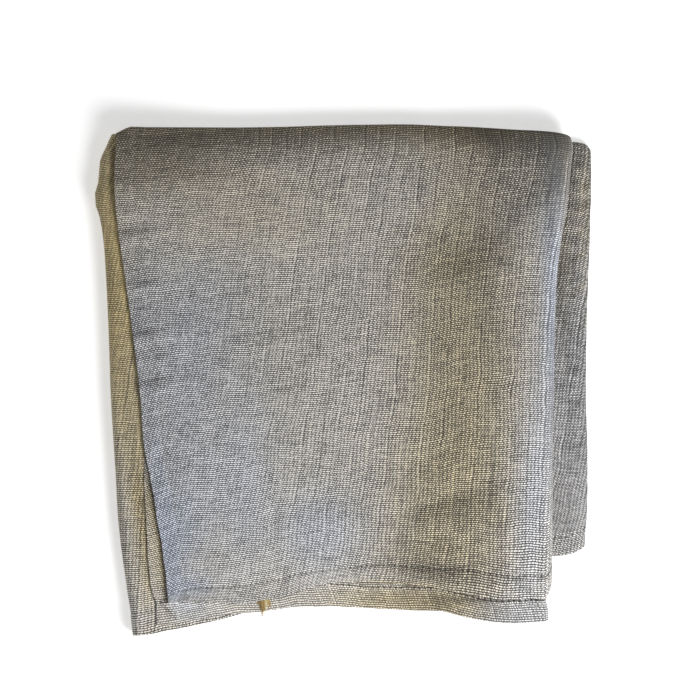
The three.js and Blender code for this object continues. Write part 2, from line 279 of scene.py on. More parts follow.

# Painted light and shade, with tint, laid out as the creases are. The light column makes the cloth
# paler or darker than plain where the lighting should do it: darker towards the top fold and on the
# right, painted shadows beside hem edges, folds and puckers, and painted light over the shadows
# beside the top panel's hems and on fold rounds. The warmth column makes it warmer or cooler than
# plain, partly its own tint and partly the colour of that painted light and shade.
PAINTED_LIGHT_AND_TINT = {
    "top front": table("x y length breadth turn light warmth", [
        (0, 129, 220, 10, 0, -0.48, 0.22),
        (0, 132, 220, 3, 0, 0.0, 0.25),
        (38, 126, 26, 8, 0, 0.13, -0.1),
        (45, 73, 24, 28, 0, -0.12, 0.0),
        (90, 96, 16, 14, 0, -0.1, 0.0),
        (94, -20, 16, 45, 0, -0.08, 0.0),
        (56, -93, 14, 3, 10, 0.15, 0.0),
        (107.8, -10, 100, 4.5, 91.5, -0.16, 0.0),
        (109.6, 0, 90, 1.8, 90.5, -0.25, 0.0),
        (115, 95, 28, 4, 100, 0.0, -0.15),
        (110, 74, 10, 3, 100, -0.15, 0.0),
        (99, -10, 60, 4, 91, 0.16, 0.0),
        (26, -106.6, 24, 1.3, -4, 0.5, 0.3),
        (112, 40, 70, 6, 92, 0.0, -0.35),
        (-40, -104, 26, 16, 0, 0.16, 0.0),
        (-8, -104, 30, 12, 0, 0.12, 0.0),
        (-110, 77, 7, 3.5, -25, -0.14, 0.0),
        (-114, 91, 6, 3.0, -20, -0.12, 0.0),
        (-112, 103, 6, 3.0, -20, -0.12, 0.0),
        (-103, 50, 7, 3.0, -20, -0.12, 0.0),
        (-101, 24, 7, 3.0, -20, -0.12, 0.0),
        (-96, 0, 8, 3.5, -15, -0.12, 0.0),
        (-93, -80, 50, 5, 97, 0.0, -0.4),
        (-80, -108, 14, 6, 0, 0.0, -0.35),
        (114, 122, 14, 14, 0, -0.2, 0.0),
        (-18, 117, 34, 6, 0, -0.12, 0.0),
        (78, 73, 46, 10, 92, -0.18, 0.0),
        (-25, 70, 50, 24, 0, 0.1, 0.0),
        (-10, -25, 50, 36, 60, 0.12, 0.0),
        (-10, -84, 60, 26, 0, 0.05, 0.0),
        (48, -101, 26, 8, -12, -0.25, 0.0),
        (36, -84, 10, 6, 0, -0.2, 0.0),
        (82, -69, 8, 7, 0, -0.2, 0.1),
        (40, -63, 12, 5, 10, -0.12, 0.0),
        (-33, -94, 9, 14, 0, 0.12, 0.0),
        (-100, 116, 46, 16, 4, -0.38, 0.25),
        (-70, 104, 60, 14, 4, -0.1, 0.15),
        (104, 108, 40, 20, -30, -0.38, 0.1),
        (40, 96, 26, 18, 40, 0.13, -0.15),
        (-20, 84, 70, 26, 12, 0.1, 0.05),
        (61, 62, 20, 8, 10, -0.14, 0.1),
        (62, 20, 130, 30, 93, -0.22, 0.45),
        (46, -70, 55, 26, 80, -0.1, 0.25),
        (58, -92, 38, 14, 0, -0.1, 0.1),
        (61, -66, 26, 7, 12, -0.2, 0.0),
        (51, -98, 30, 5, -3, -0.14, 0.0),
        (98, -60, 75, 12, 86, 0.24, -0.3),
        (103, -60, 75, 9, 86, 0.0, -0.1),
        (108, 45, 60, 7, 92, 0.1, -0.2),
        (-108, 30, 75, 10, 80, -0.08, -0.1),
        (-88, -84, 22, 12, 80, -0.1, -0.35),
        (-84, 10, 70, 30, 80, 0.0, -0.3),
        (-70, -60, 45, 30, 60, 0.05, -0.2),
        (-50, -60, 60, 12, 88, 0.04, -0.15),
        (-12, -80, 24, 22, 0, 0.06, -0.35),
        (-70, 80, 50, 18, 5, 0.04, 0.2),
    ]),
    "top back": table("x y length breadth turn light warmth", [
        (-98, -90, 34, 4.5, 96, 0.3, 0.3),
        (-94.8, -88, 28, 1.4, 96, -0.3, 0.5),
        (-100.4, -63, 12, 2.2, 97, -0.55, 0.4),
        (-94.3, -115.9, 3.4, 0.9, 30, -0.5, 0.2),
        (-91.5, -120.5, 4.0, 0.9, -48, -0.7, 0.2),
        (-60, -122, 60, 10, 5, 0.32, 0.0),
        (-85, -118, 16, 8, 0, 0.0, -0.25),
        (-84, -117.6, 12, 1.2, 0, 0.4, 0.0),
        (0, -111, 26, 7, 0, 0.1, 0.0),
        (26, -115, 30, 8, 0, -0.2, 0.45),
        (30, -118.4, 34, 1.4, -2, 0.15, 0.0),
        (58, -118, 22, 12, 0, -0.32, 0.4),
        (82, -114.8, 26, 1.2, 0, -0.5, 0.0),
        (92, -122, 26, 14, 0, -0.02, -0.25),
    ]),
    "middle back": table("x y length breadth turn light warmth", [
        (-120, 70, 90, 24, 90, 0.1, 1.0),
        (-112.9, 45, 56, 1.3, 97.6, 1.3, 0.2),
        (-104.9, -28, 18, 1.4, 94, 1.2, 0.3),
        (-101.8, -98, 14, 1.0, 95, 0.8, 0.2),
        (-118.6, -60, 60, 1.6, 95, 0.3, 0.0),
        (-107.6, -62, 14, 2.4, 95, -0.15, 0.2),
        (-112, -60, 70, 24, 90, 0.12, 0.2),
        (-106, -118, 18, 24, 90, 0.45, 0.0),
        (-120.5, 10, 45, 3, 94, 0.28, 0.0),
        (-114.5, -72, 62, 3, 94.9, 0.2, -0.15),
        (-115.5, -5, 42, 4, 96, -0.12, 0.1),
        (-104.5, -72, 40, 3.2, 94, -0.2, 0.4),
        (-122.7, 110, 10, 0.9, 87, 0.35, -0.3),
        (-120.6, 108, 16, 1.4, 86, -0.3, 0.0),
        (-108, -124, 10, 6, 0, 0.15, -0.1),
    ]),
    "bottom back": table("x y length breadth turn light warmth", [
        (-120, 70, 90, 24, 90, 0.1, 1.0),
        (-112, -60, 70, 24, 90, 0.12, 0.2),
        (-106, -118, 18, 24, 90, 0.45, 0.0),
    ]),
    "bottom front": table("x y length breadth turn light warmth", [
        (120, -10, 120, 24, 90, -0.22, -0.2),
        (113, 50, 40, 3.5, 94, -0.3, 0.1),
        (112, -66, 14, 3.5, 90, -0.25, 0.0),
        (124, 100, 40, 12, 90, -0.2, 0.2),
        (118, 108, 20, 5, 90, -0.22, 0.0),
        (124, 118, 12, 8, 0, -0.25, 0.0),
        (116, 64, 24, 4, 92, -0.18, 0.25),
        (126.5, 80, 34, 3, 91, 0.26, 0.1),
        (126, -72, 22, 5, 90, 0.15, 0.0),
        (127, 101, 4, 1.6, 40, -0.25, 0.15),
        (126, 90, 5, 1.6, 40, -0.3, 0.15),
        (125, 77, 5, 1.6, 40, -0.3, 0.15),
        (123, 64, 5, 1.6, 40, -0.3, 0.15),
        (124, 48, 5, 1.6, 35, -0.2, 0.2),
        (123, 27, 5, 1.8, 35, -0.2, 0.1),
        (123, 6, 5, 1.8, 30, -0.2, 0.0),
        (122, -14, 5, 1.8, 30, -0.2, 0.0),
        (122, -36, 5, 1.8, 25, -0.2, 0.0),
    ]),
}
PLAIN_PAINTED_LIGHT = 0.88
PLAIN_WARMTH = 0.25

# Where the threads blend together, seen at a slant or in soft light, laid out as the creases are
SMOOTHNESS = {
    "top front": table("x y length breadth turn smooth", [
        (112, -20, 130, 6, 91, 0.6),
        (117, 104, 34, 7, 98, 0.5),
        (60, 129, 200, 8, 0, 0.4),
        (-98, 112, 34, 20, 0, 0.15),
        (-84, -100, 20, 30, 0, 0.2),
    ]),
    "middle back": table("x y length breadth turn smooth", [
        (-122, 100, 60, 24, 90, 0.6),
        (-118, 0, 60, 24, 90, 0.3),
    ]),
    "bottom back": table("x y length breadth turn smooth", [
        (-122, 100, 60, 24, 90, 0.6),
        (-118, 0, 60, 24, 90, 0.3),
    ]),
    "top back": table("x y length breadth turn smooth", [
        (0, -120, 140, 14, 0, 0.35),
    ]),
}

# Strands of the yarn tuft: where along the hem each starts and ends, and how far out it reaches,
# all counted from the tuft's root, how many fibres it has, how far they spread, and how brown it is
TUFT_ROOT = (-40.5, -114.6, 10.1)
STRANDS = table("start end out fibres spread brown", [
    (-4.2, -4.6, 2.4, 10, 0.8, 0.5),
    (-3.6, -3.2, 4.6, 14, 0.9, 0.85),
    (-2.4, -2.2, 6.6, 16, 0.8, 0.8),
    (-1.4, -1.5, 10.4, 24, 0.8, 0.75),
    (-0.7, -1.1, 10.0, 20, 0.7, 0.9),
    (0.2, 0.4, 8.0, 20, 0.6, 0.0),
    (1.0, 1.6, 5.2, 16, 0.9, 0.25),
    (1.8, 2.4, 4.4, 16, 0.7, 0.5),
    (2.0, 2.8, 6.4, 12, 0.5, 1.0),
    (-0.2, 0.4, 13.0, 4, 1.4, 0.0),
])
STRAND_RADIUS = 0.7
STRAND_TWIST = 5  # in radians, from one end to the other
FIBRE_WIDTH = 0.18
FIBRE_POINTS = 10
SHORTEST_FIBRE = 0.55  # as a share of its strand's reach
TUFT_SEED = 4

# Single weft threads of the top panel that are paler than the rest: the middle's place on the flat
# cloth, half the length, and how much the thread leans
PALE_THREADS = table("u v reach lean", [
    (201.5, 153.9, 14.0, 0.0),
    (192.0, 212.2, 17.0, -0.15),
    (191.5, 140.4, 13.0, 0.0),
])


def smoothstep(value, low, high):
    share = np.clip((value - low) / (high - low), 0, 1)
    return share * share * (3 - 2 * share)


def curve_through(rows, key):
    """A smooth curve through each column of a table, read by its key column."""
    order = np.argsort(rows[key])
    places = rows[key][order]

    def at(name, place):
        values = rows[name][order]
        rises = np.diff(values) / np.diff(places)
        slopes = np.concatenate([rises[:1], (rises[1:] + rises[:-1]) / 2, rises[-1:]])
        place = np.clip(place, places[0], places[-1])
        index = np.clip(np.searchsorted(places, place, side="right") - 1, 0, len(places) - 2)
        span = places[index + 1] - places[index]
        share = (place - places[index]) / span
        ease = share * share * (3 - 2 * share)
        plain = values[index] + (values[index + 1] - values[index]) * ease
        bend = slopes[index] * span * share * (1 - share) ** 2
        back = slopes[index + 1] * span * share ** 2 * (1 - share)
        return plain + bend - back

    return at


sides_at = curve_through(SIDES, "y")
ends_at = curve_through(ENDS, "used")


def patches(rows, name, x, y):
    """The sum of soft oval patches at places on the plan, for one column of a table."""
    total = np.zeros_like(x)
    places = zip(rows["x"], rows["y"], rows["length"], rows["breadth"], rows["turn"], rows[name])
    for px, py, length, breadth, turn, amount in places:
        angle = math.radians(turn)
        along = (x - px) * math.cos(angle) + (y - py) * math.sin(angle)
        beside = (y - py) * math.cos(angle) - (x - px) * math.sin(angle)
        total += amount * np.exp(-((along / length) ** 2) - (beside / breadth) ** 2)
    return total


def used_at(across):
    """How much of the width is used up at places given by course."""
    return np.interp(across, np.arange(len(USED_MARKS)), USED_MARKS)


def between_marks(marks, position):
    """The value at each place's position between the marks of its own column."""
    part = np.clip(np.floor(position), 0, len(marks) - 2).astype(int)
    each = np.arange(len(position))
    return marks[part, each] + (position - part) * (marks[part + 1, each] - marks[part, each])


def fold_radius(opening):
    return (PANEL_SPACING + opening) / 2


def marks_across(front, y):
    """The x where each course starts and ends, at places on the front or the back leaf."""
    hem = np.where(front, sides_at("front_hem", y), sides_at("back_hem", y))
    right_radius = fold_radius(sides_at("right_open", y))
    left_radius = fold_radius(sides_at("left_open", y))
    right_turn = sides_at("right_fold", y) - REACH - right_radius
    left_turn = sides_at("left_fold", y) + REACH + left_radius
    far_hem = sides_at("right_hem", y)
    hem_end = HEM_DEPTH + HEM_STEP
    return np.stack([
        hem, hem + HEM_DEPTH, hem + hem_end, right_turn, right_turn, left_turn, left_turn,
        far_hem - hem_end, far_hem - HEM_DEPTH, far_hem,
    ])


def middle(front, across, y):
    """A point on the middle surface of the doubled cloth."""
    marks = marks_across(front, y)
    right_open = sides_at("right_open", y)
    left_open = sides_at("left_open", y)
    right_turn = marks[RIGHT_FOLD]
    left_turn = marks[LEFT_FOLD]
    course = np.clip(np.floor(across), 0, len(marks) - 2).astype(int)
    share = across - course
    x = between_marks(marks, across)

    def near_fold(distance):
        return 1 - smoothstep(distance, 0, FOLD_SLOPE)

    below_top = ends_at("top", used_at(across)) - y
    by_right = near_fold(right_turn - x)
    by_left = near_fold(x - left_turn)
    bottom = np.full_like(x, REACH)
    between = bottom + PANEL_SPACING + left_open * by_left
    brow = np.maximum(0, 1 - below_top / BROW_LENGTH) ** 2
    droop = BROW_DROOP * brow * (1 - by_right) * (1 - by_left)
    rise = patches(RISES, "height", x, y) * (1 - by_right)
    top = between + PANEL_SPACING + right_open * by_right + rise - droop

    angle = share * np.pi
    right = (top + between) / 2 + (top - between) / 2 * np.cos(angle)
    left = (between + bottom) / 2 + (between - bottom) / 2 * np.cos(angle)
    z = np.select(
        [course < RIGHT_FOLD, course == RIGHT_FOLD, course == MIDDLE_PANEL, course == LEFT_FOLD],
        [top, right, between, left],
        bottom,
    )
    x = x + np.where(course == RIGHT_FOLD, fold_radius(right_open) * np.sin(angle), 0)
    x = x - np.where(course == LEFT_FOLD, fold_radius(left_open) * np.sin(angle), 0)
    return np.stack([x, y, z], axis=1)


def unit(vectors):
    return vectors / np.linalg.norm(vectors, axis=1, keepdims=True)


def layer_names(across, along):
    """Which layer each place of the cloth is in."""
    leaf = np.where(along < TOP_FOLD + 0.5, "front", "back")
    ends = [across < RIGHT_FOLD + 0.5, across < LEFT_FOLD + 0.5]
    panel = np.select(ends, ["top", "middle"], "bottom")
    return np.char.add(np.char.add(panel, " "), leaf)


def cloth_point(across, along, lift=0.0):
    """The cloth's outside at places given by course and stretch, raised by "lift"."""
    used = used_at(across)
    fold_y = ends_at("top", used) - REACH
    front_hem = ends_at("front", used)
    front_seam = front_hem + ends_at("depth", used)
    back_hem = ends_at("back", used)
    back_seam = back_hem + BACK_HEM_DEPTH
    marks = np.stack([
        front_hem, front_seam, front_seam + HEM_STEP, fold_y - BROW_LENGTH, fold_y,
        fold_y, fold_y - BROW_LENGTH, back_seam + HEM_STEP, back_seam, back_hem,
    ])
    stretch = np.clip(np.floor(along), 0, len(marks) - 2).astype(int)
    share = along - stretch
    y = between_marks(marks, along)

    # The surface's own directions come from points a little apart
    front = stretch <= TOP_FOLD
    nudge = 0.001
    start = middle(front, np.maximum(across - nudge, 0), y)
    end = middle(front, np.minimum(across + nudge, JUST_INSIDE), y)
    nudge_up = 0.02
    up = unit(middle(front, across, y + nudge_up) - middle(front, across, y - nudge_up))
    normal = unit(np.cross(end - start, up))
    turn = np.select([stretch < TOP_FOLD, stretch == TOP_FOLD], [0, share * np.pi], np.pi)[:, None]
    offset = (REACH + lift * np.ones_like(y))[:, None]
    return middle(front, across, y) + offset * (normal * np.cos(turn) + up * np.sin(turn))


def cloth_place(across, along):
    """The place on the flat cloth, in millimetres from the corner of the top panel's front hem."""
    used = used_at(across)
    y = cloth_point(across, along)[:, 1]
    right = np.interp(y, SIDE_GRAIN["y"], SIDE_GRAIN["right_fold"])
    left = np.interp(y, SIDE_GRAIN["y"], SIDE_GRAIN["left_fold"])
    fold = np.interp(used, TOP_GRAIN["used"], TOP_GRAIN["fold"])
    hem_end = HEM_DEPTH + HEM_STEP
    edge = np.zeros_like(y)
    across_marks = np.stack([
        edge, edge + HEM_DEPTH, edge + hem_end,
        right - SIDE_FOLD_RUN, right + SIDE_FOLD_RUN, left - SIDE_FOLD_RUN, left + SIDE_FOLD_RUN,
        TOWEL_WIDTH - hem_end + edge, TOWEL_WIDTH - HEM_DEPTH + edge, TOWEL_WIDTH + edge,
    ])
    along_marks = np.stack([
        edge, edge + HEM_DEPTH, edge + hem_end,
        fold - BROW_LENGTH - TOP_FOLD_RUN, fold - TOP_FOLD_RUN,
        fold + TOP_FOLD_RUN, fold + BROW_LENGTH + TOP_FOLD_RUN,
        TOWEL_LENGTH - hem_end + edge, TOWEL_LENGTH - HEM_DEPTH + edge, TOWEL_LENGTH + edge,
    ])

    # On the top leaf the rows of the weave bow away from the hem
    spare = 1 - np.clip(along - FRONT_LEAF, 0, 1)
    bow = ends_at("front", used) - ends_at("top", used) + fold
    v = between_marks(along_marks, along) + bow * (spare - spare ** 4)
    return between_marks(across_marks, across), v


def edge_distances(across, along):
    """How far each place is from the side hems' edges and from the end hems' edges."""
    used = used_at(across)
    run = np.interp(along, np.arange(len(LENGTH_MARKS)), LENGTH_MARKS)
    return np.minimum(used, TOWEL_WIDTH - used), np.minimum(run, TOWEL_LENGTH - run)


def layer_patches(tables, name, across, along):
    """One column of the tables of creases or tones, each read in its own layer only."""
    plan = cloth_point(across, along)
    names = layer_names(across, along)
    total = np.zeros(len(across))
    for layer, rows in tables.items():
        total += np.where(names == layer, patches(rows, name, plan[:, 0], plan[:, 1]), 0)
    return total


def ripple(run):
    """An uneven wave along a seam, from -1 to 1, about 9 mm from crest to crest."""
    return np.sin(run * 0.68 + 1.3 * np.sin(run / 23)) * (0.6 + 0.4 * np.sin(run / 17 + 2))


def seam_lift(across, along):
    """The hems stand proud, drawn in along their stitches and puckered across."""
    side, end = edge_distances(across, along)
    u, v = cloth_place(across, along)
    lift = np.zeros(len(across))
    far = smoothstep(u, TOWEL_WIDTH / 2, TOWEL_WIDTH - HEM_DEPTH)
    side_pucker = SIDE_PUCKER + FAR_SIDE_PUCKER * far
    for distance, other, run, pucker in ((side, end, v, side_pucker), (end, side, u, END_PUCKER)):
        hem = 1 - smoothstep(distance, HEM_DEPTH - 3, HEM_DEPTH + 1)
        groove = np.exp(-((distance - STITCH_INSET) / GROOVE_WIDTH) ** 2) * (other > 1)
        wave = pucker * ripple(run) * np.exp(-((distance - PUCKER_INSET) / PUCKER_WIDTH) ** 2)
        lift = np.maximum(lift, HEM_RISE * hem) - GROOVE_DEPTH * groove + wave
    return lift


def lift_at(across, along):
    return layer_patches(CREASES, "height", across, along) + seam_lift(across, along)


def grid_lines(pieces):
    """Line positions from hem to hem, with the hems' own lines at both ends."""
    inner = [np.linspace(start, end, steps + 1)[1:] for start, end, steps in pieces]
    far_hem = LAST_MARK - HEM_LINES[::-1][1:]
    return np.concatenate([HEM_LINES, *inner, far_hem])


class Wire:
    """A node's output, on which Python's operators add Math nodes."""

    def __init__(self, finish, socket):
        self.finish = finish
        self.socket = socket

    def __add__(self, other):
        return self.finish.math("ADD", self, other)

    __radd__ = __add__

    def __sub__(self, other):
        return self.finish.math("SUBTRACT", self, other)

    def __rsub__(self, other):
        return self.finish.math("SUBTRACT", other, self)

    def __mul__(self, other):
        return self.finish.math("MULTIPLY", self, other)

    __rmul__ = __mul__

    def __truediv__(self, other):
        return self.finish.math("DIVIDE", self, other)

    def __abs__(self):
        return self.finish.math("ABSOLUTE", self)


class Finish:
    """A material, and the nodes that give it its pattern."""

    def __init__(self, name, roughness, **constants):
        self.material = bpy.data.materials.new(name)
        self.material.use_nodes = True
        self.nodes = self.material.node_tree.nodes
        self.links = self.material.node_tree.links
        self.shader = self.nodes["Principled BSDF"]
        self.shader.inputs["Roughness"].default_value = roughness
        for socket, value in constants.items():
            self.shader.inputs[socket.replace("_", " ")].default_value = value

    def add(self, kind, settings=None, inputs=None, output=0):
        node = self.nodes.new(kind)
        for name, value in (settings or {}).items():
            setattr(node, name, value)
        for socket, value in (inputs or {}).items():
            if isinstance(value, Wire):
                self.links.new(value.socket, node.inputs[socket])
            else:
                node.inputs[socket].default_value = value
        return Wire(self, node.outputs[output])

    def math(self, operation, *values):
        return self.add("ShaderNodeMath", {"operation": operation}, dict(enumerate(values)))

    def mix(self, share, first, second, blend="MIX"):
        settings = {"data_type": "RGBA", "blend_type": blend}
        return self.add("ShaderNodeMix", settings, {0: share, 6: first, 7: second}, 2)

    def vector(self, x, y):
        return self.add("ShaderNodeCombineXYZ", None, {0: x, 1: y})

    def noise(self, vector, scale, detail=2.0, roughness=0.5):
        inputs = {"Vector": vector, "Scale": scale, "Detail": detail, "Roughness": roughness}
        return self.add("ShaderNodeTexNoise", {"noise_dimensions": "2D"}, inputs, "Fac")

    def soften(self, value, start, end):
        """0 where the value is at its start, 1 at its end, and smooth between."""
        settings = {"interpolation_type": "SMOOTHSTEP"}
        return self.add("ShaderNodeMapRange", settings, {0: value, 1: start, 2: end})

    def hole(self, beside, run, radius):
        """Small round holes on a line, half way between its stitches."""
        along = self.math("PINGPONG", run, STITCH_PITCH / 2)
        distance = self.math("SQRT", beside * beside + along * along)
        return self.soften(distance, radius, radius * 0.4)

    def attribute(self, name):
        return self.add("ShaderNodeAttribute", {"attribute_name": name}, None, "Fac")

    def feed(self, socket, value):
        self.links.new(value.socket, self.shader.inputs[socket])


def linen_finish():
    """Plain-woven linen: uneven threads over and under each other, with painted shade in the dark
    gaps between and painted light on the threads' crowns.
    """
    linen = Finish("linen", 0.9, Sheen_Weight=0.08, Sheen_Roughness=0.6)
    uv = linen.add("ShaderNodeUVMap", {"uv_map": "cloth"})
    u = linen.add("ShaderNodeSeparateXYZ", None, {0: uv}) / MM
    v = linen.add("ShaderNodeSeparateXYZ", None, {0: uv}, 1) / MM
    place = linen.vector(u, v)

    # Threads wander a little and stand closer in some places than in others
    drift = linen.noise(place, 0.035) - 0.5
    waver = linen.noise(linen.vector(v, u), 0.11) - 0.5
    shiver = linen.noise(place, 0.55) - 0.5
    warp = (u + drift * 3.6 + waver * 0.6 + shiver * 0.25) / WARP_PITCH
    weft = (v + drift * 2.4 + waver * 0.8 + shiver * 0.25) / WEFT_PITCH
    warp_number = linen.math("FLOOR", warp)
    weft_number = linen.math("FLOOR", weft)

    # Thicker columns and fainter ribs lean across the weave near the towel's side
    near_side = linen.math("MAXIMUM", 1.0 - u / SLANT_REACH, 0.0)
    leaning = u - (v - UPRIGHT_AT) * (SLANT + near_side * SIDE_SLANT)
    column = (leaning + drift * 3.0 + waver * 0.8) / THICK_WARP_PITCH
    rib = linen.math("FRACT", (leaning + drift * 5.0 + waver * 1.2) / RIB_SPACING)
    shown = linen.soften(linen.noise(linen.vector(u * 0.2, v * 0.07), 1.0), 0.36, 0.56)
    shown = shown * linen.soften(u, 20.0, 90.0) * linen.soften(v, -30.0, 60.0)
    light_rib = linen.soften(abs(rib - 0.50), 0.09, 0.0) * shown
    dark_rib = linen.soften(abs(rib - 0.62), 0.09, 0.0) * shown

    # Each column, row and crossing has its own strength, which changes along it
    column_number = linen.math("FLOOR", column + 0.5)
    column_own = linen.noise(linen.vector(column_number * 7.31, v * 0.04), 1.0, 3.0, 0.7)
    weft_own = linen.noise(linen.vector(weft_number * 5.17 + 40.0, u * 0.06), 1.0, 3.0, 0.7)
    crossing = linen.add("ShaderNodeTexWhiteNoise", {"noise_dimensions": "2D"}, {
        "Vector": linen.vector(warp_number, weft_number),
    })

    # Weft threads lie in rows with dark gaps between, and the warp goes over and under them; a
    # thread's height also sets its painted light, with painted shade in the gaps
    weft_side = (weft - weft_number - 0.5) * 2.0
    crown = 1.0 - weft_side * weft_side
    row = crown * crown * crown
    over = linen.math("SINE", warp * math.pi) * linen.math("SINE", weft * math.pi)
    height = row * (1.0 + over * 0.6)
    own = column_own * 0.4 + weft_own * 0.6
    warp_line = linen.math("COSINE", (warp - 0.5) * (2 * math.pi))
    thick = linen.math("COSINE", column * (2 * math.pi))
    slub = linen.soften(linen.noise(linen.vector(weft_number * 3.7, u * 0.02), 1.0), 0.66, 0.74)
    columns = thick * (0.3 + linen.soften(u, 30.0, 120.0) * 0.15) + warp_line * 0.25
    thread = height * (1.0 + columns) * (1.0 + (own - 0.5) * 2.3) * (0.6 + crossing * 0.8)
    smooth = linen.attribute("smooth")
    thread = thread * (1.0 - smooth) + smooth * (0.28 + row * 0.38)

    # Needle holes lie between the stitches, and a painted shade darkens the groove along the end
    # hems' line of stitches
    side_edge = TOWEL_WIDTH / 2 - abs(u - TOWEL_WIDTH / 2)
    end_edge = TOWEL_LENGTH / 2 - abs(v - TOWEL_LENGTH / 2)
    side_hole = linen.hole(side_edge - STITCH_INSET, v, SIDE_HOLE)
    end_hole = linen.hole(end_edge - STITCH_INSET, u, END_HOLE)
    groove_shade = linen.soften(abs(end_edge - STITCH_INSET), 1.0, 0.2)
    hole = side_hole * 0.4 + end_hole * 0.5 + groove_shade * 0.15

    # A few threads of the top panel are paler
    pale = 0.0
    for middle_u, middle_v, reach, lean in zip(*PALE_THREADS.values()):
        beside = abs(v - middle_v - (u - middle_u) * lean)
        run = abs(u - middle_u)
        pale = linen.soften(beside, 0.8, 0.3) * linen.soften(run, reach, reach - 4.0) + pale

    # Light and colour: painted shade in the gaps and painted light on the thread crowns; gaps and
    # darker threads are the warmest
    cloud = linen.noise(place, 0.09, 3.0)
    ribs = 1.0 + light_rib * 0.6 + slub * 0.3 + pale * 0.6 - dark_rib * 0.45
    light = (PAINTED_GAP_SHADE + thread * PAINTED_THREAD_LIGHT) * ribs * (0.85 + cloud * 0.3) * (1.0 - hole)
    # The tables' painted light and shade scales the cloth's brightness here
    light = linen.math("MINIMUM", light * linen.attribute("painted_light_and_shade"), BRIGHTEST)
    warm = linen.attribute("warmth") * (1.7 - row * 1.25) + (own - 0.5) * 0.2
    tint = linen.mix((warm + 0.3) / 1.3, COOL_LINEN, WARM_LINEN)
    shade = linen.add("ShaderNodeCombineColor", None, {0: light, 1: light, 2: light})
    linen.feed("Base Color", linen.mix(1.0, tint, shade, "MULTIPLY"))
    linen.feed("Normal", linen.add("ShaderNodeBump", None, {
        "Strength": 0.5, "Distance": BUMP_HEIGHT * MM, "Height": height,
    }))
    return linen.material


def thread_finish():
    """Sewing thread: twisted, a little paler than the cloth."""
    thread = Finish("sewing_thread", 0.8)
    place = thread.add("ShaderNodeTexCoord", None, None, "Object")
    fleck = thread.noise(place, 900.0)
    thread.feed("Base Color", thread.mix(fleck, DARK_THREAD, PALE_THREAD))
    return thread.material


def straw_finish():
    """Frayed yarn: cream fibres, some of them straw yellow or brown."""
    straw = Finish("straw_yarn", 0.75, Sheen_Weight=0.1)
    place = straw.add("ShaderNodeTexCoord", None, None, "Object")
    fleck = straw.noise(place, 1500.0) - 0.5
    brown = straw.attribute("brown") + fleck * 0.6
    straw.feed("Base Color", straw.mix(brown, CREAM_FIBRE, BROWN_FIBRE))
    return straw.material


def carry_weave_over_edges(mesh, outside_count):
    """On the faces between the outside and the inside, the weave runs on over the edge."""
    places = np.zeros(len(mesh.loops) * 2)
    mesh.uv_layers["cloth"].data.foreach_get("uv", places)
    places = places.reshape(-1, 2) / MM
    corner = np.zeros(len(mesh.loops), int)
    mesh.loops.foreach_get("vertex_index", corner)
    inside = corner >= outside_count
    rim = np.zeros(len(mesh.loops), bool)
    for face in mesh.polygons:
        reach = slice(face.loop_start, face.loop_start + face.loop_total)
        rim[reach] = inside[reach].any() and not inside[reach].all()
    near = 0.1
    for axis, size in ((0, TOWEL_WIDTH), (1, TOWEL_LENGTH)):
        place = places[:, axis]
        place[rim & inside & (place < near)] -= HEM_THICKNESS
        place[rim & inside & (place > size - near)] += HEM_THICKNESS
    mesh.uv_layers["cloth"].data.foreach_set("uv", (places * MM).ravel())


